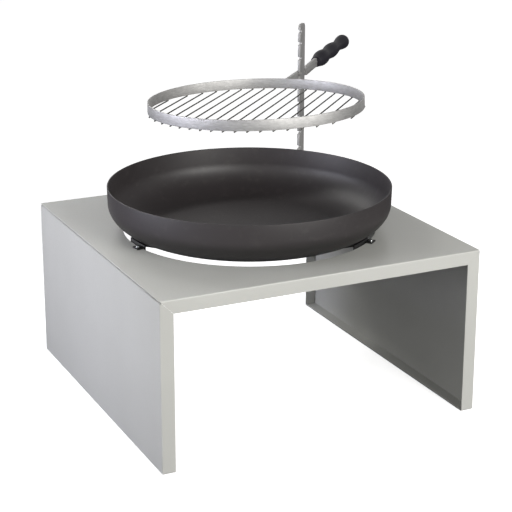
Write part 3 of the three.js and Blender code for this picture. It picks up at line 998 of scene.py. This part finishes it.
def buildGrate():
    outer, edge = grate["radius"], grate["edge"]
    inner = outer - grate["thick"]
    low, high = -grate["height"] / 2, grate["height"] / 2
    profile = arc((outer - edge, low + edge), edge, -90, 0, 3)
    profile += arc((outer - edge, high - edge), edge, 0, 90, 3)
    profile += arc((inner + edge, high - edge), edge, 90, 180, 3)
    profile += arc((inner + edge, low + edge), edge, 180, 270, 3)
    band = lathe([*profile, profile[0]], grate["sides"])
    finishPiece("grate_band", band, atRing, steelTurned, "grate", ["grate_ring"], smooth=40)
    z = low - stand["gap"] - grate["barRadius"]
    welds = []
    for index in range(1, grate["bars"] + 1):
        offset = (index - (grate["bars"] + 1) / 2) * grate["pitch"]
        half = math.sqrt(outer**2 - offset**2) + grate["overhang"]
        rod = drum(grate["barRadius"], (-half, half), segments=16)
        roundEdges(rod, sharpEdges(rod), grate["barRound"], 2)
        place = atRing @ Matrix.Translation((0, offset, z)) @ alongX
        name, node = f"grate_rod_{index}", f"grate_bar_{index}"
        finishPiece(name, rod, place, steelRodShaded, "grate", [node], smooth=50)
        welds += barWelds(offset, low)
    beads = joined(*welds)
    finishPiece("grate_welds", beads, atRing, weld, "grate", smooth=60)


arm = {
    "thick": 7.0,
    "height": 20.5,
    "frontEnd": 38.0,
    "rearStart": 34.0,
    "rearEnd": 131.0,
    "rearRise": 2.5,
    "corner": 3.0,
    "edge": 0.5,
    "bead": 1.3,
    "beadOut": 0.2,
    "beadSpan": (0.5, 19.0),  # height above the ring's lower edge
}
plate = {
    "sheet": 2.5,
    "play": 0.8,
    "front": 62.0,
    "rear": 58.0,
    "height": 17.0,
    "corner": 3.0,
    "edge": 0.3,
    "bead": 0.9,
    "beadOut": 0.1,
    "beadEnds": (4.0, 3.0),  # from the plate's end, from the bar's end
}
pins = {
    "radius": 3.0,
    "play": 0.3,
    "head": 4.5,
    "headHeight": 1.5,
    "headEdge": (0.7, 0.5),
    "front": (-23.5, 3.0),
    "rear": (26.0, 4.2),
}
atRearBar = atGrate @ Matrix.Translation((arm["rearStart"], 0, 0)) @ turnedBy(-arm["rearRise"], "Y")


def flatBar(x, z, bigCorners):
    half = arm["thick"] / 2
    bar = block(x, (-half, half), z)
    roundEdges(bar, edgesAlong(bar, 1, bigCorners), arm["corner"], 5)
    roundEdges(bar, sharpEdges(bar), arm["edge"], 2)
    return bar


# Pin with a flat head at each end, from before the post to behind the plate
def crossPin():
    start = -post["thick"] / 2 - plate["play"]
    end = post["thick"] / 2 + plate["play"] + plate["sheet"] + stand["gap"]
    head, high, radius = pins["head"], pins["headHeight"], pins["radius"]
    across, along = pins["headEdge"]
    profile = [(0, start - high), (head - across, start - high), (head, start - high + along)]
    profile += [(head, start), (radius, start), (radius, end), (head, end)]
    profile += [(head, end + high - along), (head - across, end + high), (0, end + high)]
    return lathe(profile, 32)


def buildBars():
    ringEnd = -stand["reach"] + grate["radius"] + stand["gap"]
    z = (ringBottom, ringBottom + arm["height"])
    front = flatBar((ringEnd, -arm["frontEnd"]), z, lambda middle: False)
    finishPiece("arm_front_bar", front, atGrate, steelAlong, "grate", ["front_arm"])
    length, half = arm["rearEnd"] - arm["rearStart"], arm["height"] / 2
    rear = flatBar((0, length), (-half, half), lambda middle: middle.x > length / 2)
    finishPiece("arm_rear_bar", rear, atRearBar, steelAlong, "grate", ["rear_arm"])


def buildPlate():
    inside, half = post["thick"] / 2 + plate["play"], plate["height"] / 2
    x, y = (-plate["front"], plate["rear"]), (inside, inside + plate["sheet"])
    side = block(x, y, (-half, half))
    roundEdges(side, edgesAlong(side, 1), plate["corner"], 6)
    holes = []
    for x, z in (pins["front"], pins["rear"]):
        hole = drum(pins["radius"] + pins["play"], (-overrun, overrun), segments=40)
        holes.append(moved(hole, Matrix.Translation((x, 0, z)) @ alongY))
    side = carve(side, joined(*holes))
    roundEdges(side, sharpEdges(side), plate["edge"], 2)
    finishPiece("pin_plate", side, atGrate, steelAlong, "grate", ["side_plate"])
    for name, node, (x, z) in (
        ("latch_pin_turned", "latch_pin", pins["front"]),
        ("rear_pin_turned", "rear_pin", pins["rear"]),
    ):
        place = atGrate @ Matrix.Translation((x, 0, z)) @ alongY
        finishPiece(name, crossPin(), place, steelTurned, "grate", [node], smooth=40)


# Upright beads where the arm meets the ring, and level ones along the top of the plate
def buildArmWelds():
    out, (low, high) = arm["beadOut"], arm["beadSpan"]
    x = -stand["reach"] + grate["radius"] + stand["gap"] - out
    low, high = ringBottom + low, ringBottom + high
    beads = []
    for y in (-arm["thick"] / 2 - out, arm["thick"] / 2 + out):
        beads.append(bead(straight((x, y, low), (x, y, high), 16), arm["bead"]))
    y = post["thick"] / 2 + plate["play"] - plate["beadOut"]
    z = plate["height"] / 2 + plate["beadOut"]
    fromPlate, fromBar = plate["beadEnds"]
    for start, end in (
        (-plate["front"] + fromPlate, -arm["frontEnd"] - fromBar),
        (arm["rearStart"] + fromBar, plate["rear"] - fromPlate),
    ):
        beads.append(bead(straight((start, y, z), (end, y, z), 18), plate["bead"]))
    mesh = joined(*beads)
    finishPiece("arm_welds", mesh, atGrate, weld, "grate", smooth=60)


buildGrate()
buildBars()
buildPlate()
buildArmWelds()
print("grate and arm made")

# Radius and place of each neck and swelling along the grip, and of the end ball
handle = {
    "profile": [
        (12.8, 0.0),
        (18.4, 50.8),
        (14.9, 98.4),
        (17.8, 143.8),
        (13.2, 207.3),
        (17.85, 263.0),
    ],
    "steps": 16,  # between one neck or swelling and the next
    "sides": 72,
    "rise": 1.56,
    "edge": 1.2,
    "tang": 4.0,
    "tangStart": 0.4,
    "tangEnd": 1.0,
    "bore": 4.3,
    "boreDepth": 130.0,
}
handleLift = (arm["rearEnd"] - arm["rearStart"]) * math.sin(math.radians(arm["rearRise"]))
atHandle = (
    atGrate
    @ Matrix.Translation((arm["rearEnd"] + 2 * stand["gap"], 0, handleLift))
    @ turnedBy(-handle["rise"], "Y")
    @ alongX
)


def buildGrip():
    stops, edge = handle["profile"], handle["edge"]
    bore, depth = handle["bore"], handle["boreDepth"]
    profile = [(0, depth), (bore, depth), (bore, 0)]
    profile += arc((stops[0][0] - edge, edge), edge, -90, 0, 4)
    for (startRadius, start), (endRadius, end) in zip(stops, stops[1:]):
        for step in range(1, handle["steps"] + 1):
            along = step / handle["steps"]
            swell = (1 - math.cos(math.pi * along)) / 2
            z = start + (end - start) * along
            if z > edge:
                profile.append((startRadius + (endRadius - startRadius) * swell, z))
    ballRadius, ballPlace = stops[-1]
    profile += [(max(out, 0), z) for out, z in arc((0, ballPlace), ballRadius, 6, 90, 14)]
    mesh = lathe(profile, handle["sides"])
    finishPiece("turned_grip", mesh, atHandle, lacquer, "grate", ["handle_grip"], smooth=50)


def buildTang():
    tang, length = handle["tang"], handle["boreDepth"] - 2 * stand["gap"]
    start, end = handle["tangStart"], handle["tangEnd"]
    profile = [(0, 0), (tang - start, 0), (tang, start)]
    profile += [(tang, length - end), (tang - end, length), (0, length)]
    mesh = lathe(profile, 32)
    finishPiece("grip_tang", mesh, atHandle, zinc, "grate", ["handle_tang"], smooth=40)


buildGrip()
buildTang()
print("handle made")

studio = {
    "floorSeen": 0.71,  # glow of the floor as the camera sees it
    "floorShade": 0.93,  # part of it that shadows can darken
    "floorBounce": (0.2, 0.2, 0.21),  # colour of the floor to everything else
    "floorReach": 30.0,  # metres from the middle to the edge
    "floorDrop": 0.0005,  # metres below the feet
    "skyTop": 0.0,  # strength of the room's light overhead
    "skyBack": 0.76,
    "skyFront": 0.52,
    "skySide": 0.3,  # added on the left, taken off on the right
    "skyDepth": 0.9,  # where the front and the back are at their full
    "skyHeights": (0.45, 0.9),  # where the top starts and is at its full
}


# The first shader, or the second where the test is true
def chooseShader(tree, test, first, second):
    node = addNode(tree, "MixShader")
    for source, socket in zip((test, first.outputs[0], second.outputs[0]), node.inputs):
        tree.links.new(source, socket)
    return node


# Pale floor: white to the camera, calmer to the surfaces that it lights, clear from below
def buildFloor():
    mesh = bmesh.new()
    below = Matrix.Translation((0, 0, -studio["floorDrop"]))
    bmesh.ops.create_grid(mesh, x_segments=1, y_segments=1, size=studio["floorReach"], matrix=below)
    data = bpy.data.meshes.new("floor")
    mesh.to_mesh(data)
    mesh.free()
    floor = bpy.data.objects.new("floor", data)
    bpy.context.scene.collection.objects.link(floor)
    material = bpy.data.materials.new("floor_paper")
    material.use_nodes = True
    tree = material.node_tree
    seen = feed(
        tree,
        tree.nodes["Principled BSDF"],
        Base_Color=(studio["floorShade"],) * 3 + (1,),
        Roughness=1.0,
        Specular_IOR_Level=0.0,
        Emission_Color=(1, 1, 1, 1),
        Emission_Strength=studio["floorSeen"],
    )
    bounce = addNode(tree, "BsdfDiffuse", Color=(*studio["floorBounce"], 1))
    byCamera = addNode(tree, "LightPath").outputs["Is Camera Ray"]
    fromBelow = addNode(tree, "NewGeometry").outputs["Backfacing"]
    shade = chooseShader(tree, byCamera, bounce, seen)
    shade = chooseShader(tree, fromBelow, shade, addNode(tree, "BsdfTransparent"))
    feed(tree, tree.nodes["Material Output"], Surface=shade.outputs[0])
    data.materials.append(material)


# White backdrop with a soft room round it: brightest low behind, dimmer overhead and in front
def buildWorld():
    world = bpy.data.worlds.new("studio")
    bpy.context.scene.world = world
    world.use_nodes = True
    tree = world.node_tree

    def ramp(source, low, high, outLow, outHigh):
        node = addNode(tree, "MapRange", Value=source, To_Min=outLow, To_Max=outHigh)
        node.interpolation_type = "SMOOTHSTEP"
        feed(tree, node, From_Min=low, From_Max=high)
        return node.outputs["Result"]

    split = addNode(tree, "SeparateXYZ", Vector=addNode(tree, "TexCoord").outputs["Generated"])
    x, y, z = split.outputs
    depth, side = studio["skyDepth"], studio["skySide"]
    horizon = addNode(tree, "Math")
    horizon.operation = "ADD"
    tree.links.new(ramp(y, -depth, depth, studio["skyFront"], studio["skyBack"]), horizon.inputs[0])
    tree.links.new(ramp(x, -1.0, 1.0, side, -side), horizon.inputs[1])
    overhead = addNode(tree, "Mix")
    tree.links.new(ramp(z, *studio["skyHeights"], 0.0, 1.0), overhead.inputs[0])
    tree.links.new(horizon.outputs[0], overhead.inputs[2])
    overhead.inputs[3].default_value = studio["skyTop"]
    plain = (1, 1, 1, 1)
    room = feed(tree, tree.nodes["Background"], Color=plain, Strength=overhead.outputs[0])
    backdrop = addNode(tree, "Background", Color=plain)
    byCamera = addNode(tree, "LightPath").outputs["Is Camera Ray"]
    shade = chooseShader(tree, byCamera, room, backdrop)
    feed(tree, tree.nodes["World Output"], Surface=shade.outputs[0])


def areaLight(name, light):
    data = bpy.data.lights.new(name, "AREA")
    data.shape = "RECTANGLE"
    data.size, data.size_y = light["size"]
    data.spread = math.radians(light["spread"])
    data.energy = light["power"]
    data.color = light["colour"]
    lamp = bpy.data.objects.new(name, data)
    lamp.location = light["place"]
    aim = Vector(light["target"]) - lamp.location
    lamp.rotation_euler = aim.to_track_quat("-Z", "Y").to_euler()
    bpy.context.scene.collection.objects.link(lamp)


lights = {
    "front": {
        "place": (0.9, -3.8, 1.7),
        "target": (0, -0.3, 0.3),
        "size": (2.0, 1.2),
        "spread": 180,
        "power": 158,
        "colour": (1.0, 0.995, 0.965),
    },
    "left": {
        "place": (-2.6, 0.3, 0.8),
        "target": (-0.35, 0, 0.3),
        "size": (1.2, 0.6),
        "spread": 50,
        "power": 4.5,
        "colour": (0.84, 0.855, 1.0),
    },
    "leftSteep": {
        "place": (-1.25, 0.0, 1.0),
        "target": (-0.35, 0, 0.25),
        "size": (1.6, 0.3),
        "spread": 50,
        "power": 0.65,
        "colour": (1.0, 1.0, 0.93),
    },
    "back": {
        "place": (-0.35, 1.9, 2.0),
        "target": (0, -0.1, 0.4),
        "size": (0.6, 0.4),
        "spread": 60,
        "power": 1.6,
        "colour": (1.0, 0.995, 0.965),
    },
}

# Place in millimetres from the table's middle, turns in degrees, focal length in parts of the frame
view = {
    "place": (-1305.3, -2727.9, 1302.2),
    "yaw": 25.832,
    "pitch": 16.698,
    "roll": -0.124,
    "focal": 1490.3,
    "frame": 512,
    "shiftY": -0.0996,
    "sensor": 36,
    "clip": (0.05, 200),
}


def buildCamera():
    data = bpy.data.cameras.new("camera")
    data.sensor_width = view["sensor"]
    data.lens = view["focal"] / view["frame"] * view["sensor"]
    data.shift_y = view["shiftY"]
    data.clip_start, data.clip_end = view["clip"]
    camera = bpy.data.objects.new("camera", data)
    spot = Vector(view["place"]) + Vector((tableMiddle.x, tableMiddle.y, 0))
    turn = turnedBy(-view["yaw"], "Z") @ turnedBy(90 - view["pitch"], "X")
    turn = turn @ turnedBy(-view["roll"], "Z")
    camera.matrix_world = Matrix.Translation(spot * mm) @ turn
    bpy.context.scene.collection.objects.link(camera)
    bpy.context.scene.camera = camera


buildFloor()
buildWorld()
for name, light in lights.items():
    areaLight(name, light)
buildCamera()
bpy.context.scene.view_settings.view_transform = "Standard"
print("studio made")
